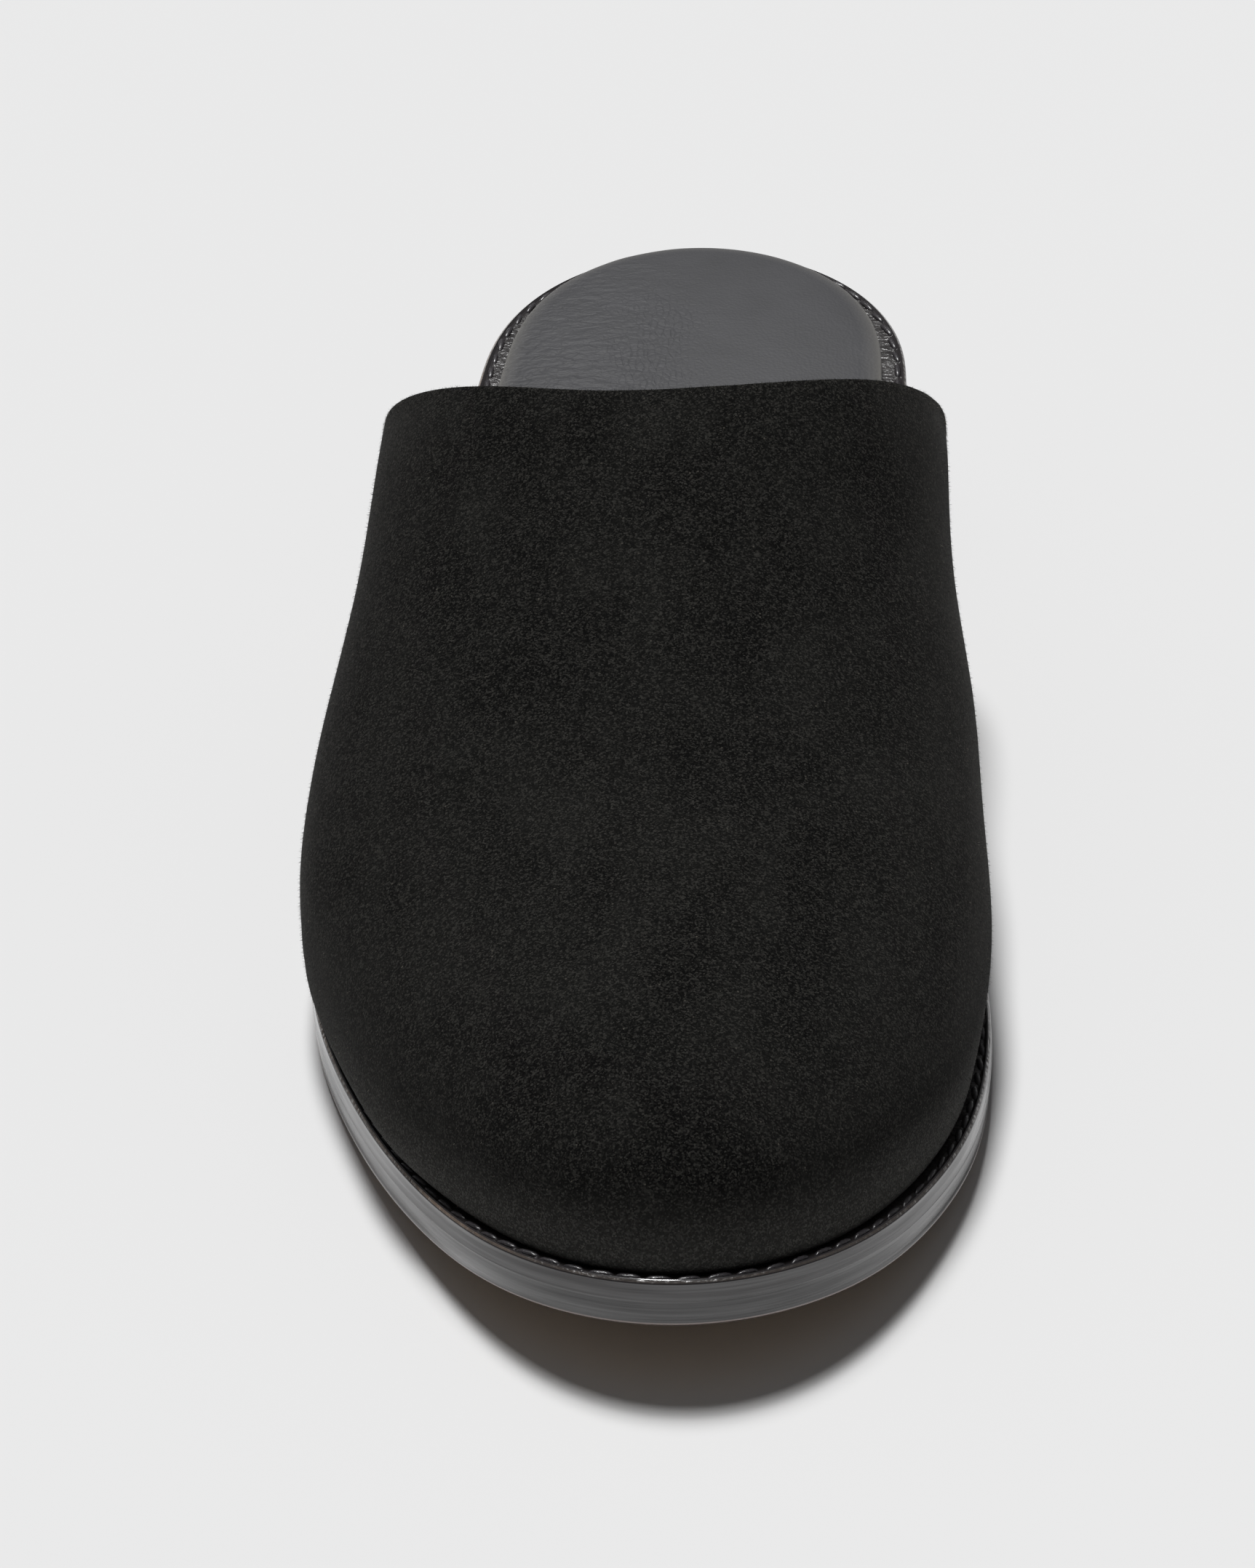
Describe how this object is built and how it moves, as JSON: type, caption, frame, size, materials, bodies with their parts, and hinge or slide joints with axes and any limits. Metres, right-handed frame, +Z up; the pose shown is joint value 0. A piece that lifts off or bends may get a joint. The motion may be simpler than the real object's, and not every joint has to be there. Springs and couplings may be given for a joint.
{
  "type": "suede mule",
  "caption": "Backless closed-toe suede mule for the right foot, with a hollow one-piece vamp, padded leather insole, stitched welt, leather outsole and a low stacked heel.",
  "frame": {"origin": "middle of the shoe's length and width, on the floor that it stands on", "axes": "+Z up from the floor, +Y from the toe to the heel, +X towards the inner (medial) side of the right foot"},
  "size_m": [0.1098, 0.2926, 0.0757],
  "materials": {
    "suede": "black brushed suede, matt nap",
    "footbed_leather": "charcoal grained leather, semi-matt",
    "welt_leather": "black waxed welt leather, stitched",
    "sole_leather": "leather with a black burnished edge",
    "heel_leather": "stacked leather, black burnished",
    "heel_rubber": "black rubber, matt"
  },
  "bodies": {
    "root": {"upper": "suede", "insole": "footbed_leather", "welt": "welt_leather", "outsole": "sole_leather", "heel": "heel_leather", "top_piece": "heel_rubber"}
  },
  "joints": []
}
